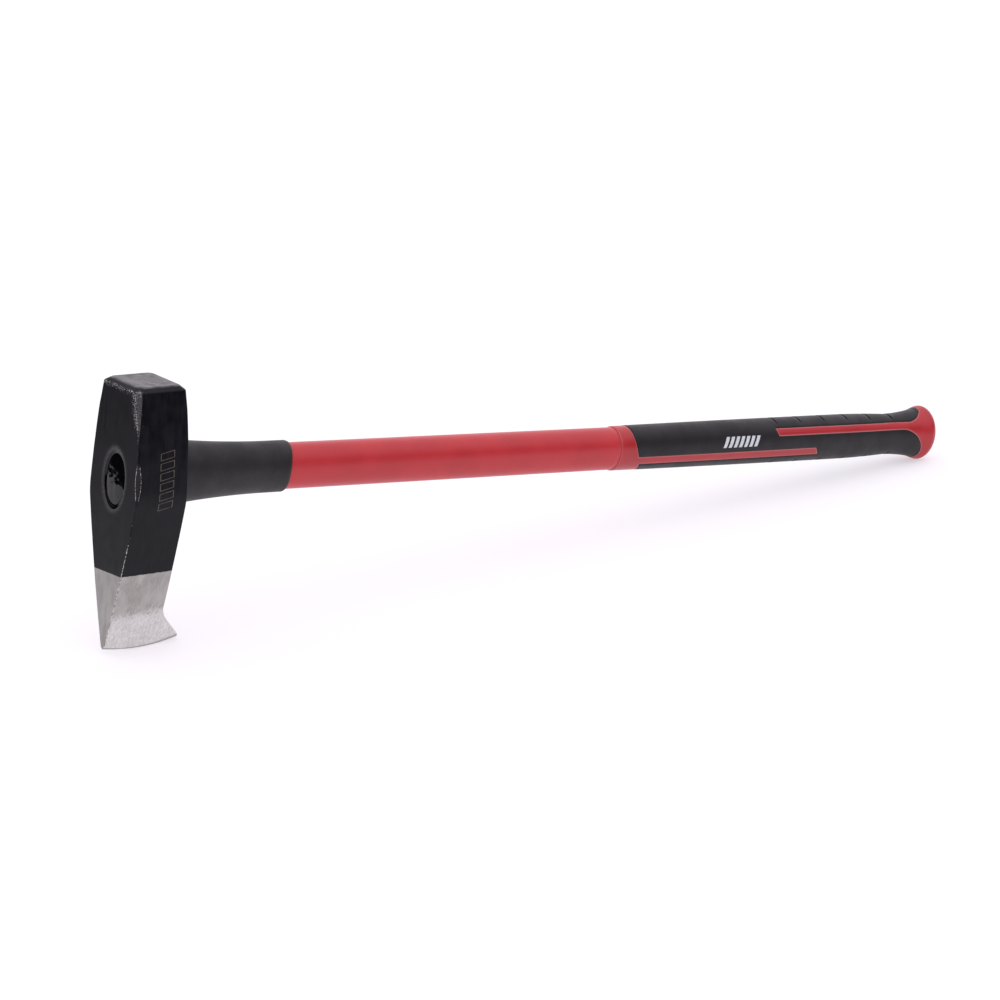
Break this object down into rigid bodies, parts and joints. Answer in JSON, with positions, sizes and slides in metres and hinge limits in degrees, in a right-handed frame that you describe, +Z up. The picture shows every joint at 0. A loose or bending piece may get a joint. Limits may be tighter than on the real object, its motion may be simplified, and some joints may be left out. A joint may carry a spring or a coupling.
{
  "type": "splitting maul",
  "caption": "Long splitting maul: forged wedge head with a square poll and rear beard, rubber guard, red sleeve, soft two-colour grip and flared knob.",
  "frame": {"origin": "on the surface the maul rests on, below the middle of its box", "axes": "+X from the head to the butt, +Z up from the cutting edge to the poll; the handle slopes down to the butt by 7.0 degrees, as the maul rests on its cutting edge and its knob; the middle plane of the swing is Y = 0"},
  "size_m": [0.8916, 0.0582, 0.1946],
  "materials": {
    "head_steel": "satin",
    "fibreglass": "matte",
    "resin": "gloss",
    "dam_rubber": "matte",
    "red_sleeve": "satin",
    "guard_rubber": "matte",
    "red_grip": "satin",
    "soft_grip": "matte"
  },
  "bodies": {
    "root": {"head": "head_steel", "core_rod": "fibreglass", "eye_resin": "resin", "eye_dam": "dam_rubber", "jacket": "red_sleeve", "overstrike_guard": "guard_rubber", "grip_sleeve": "red_grip", "grip_overmould": "soft_grip"}
  },
  "joints": []
}
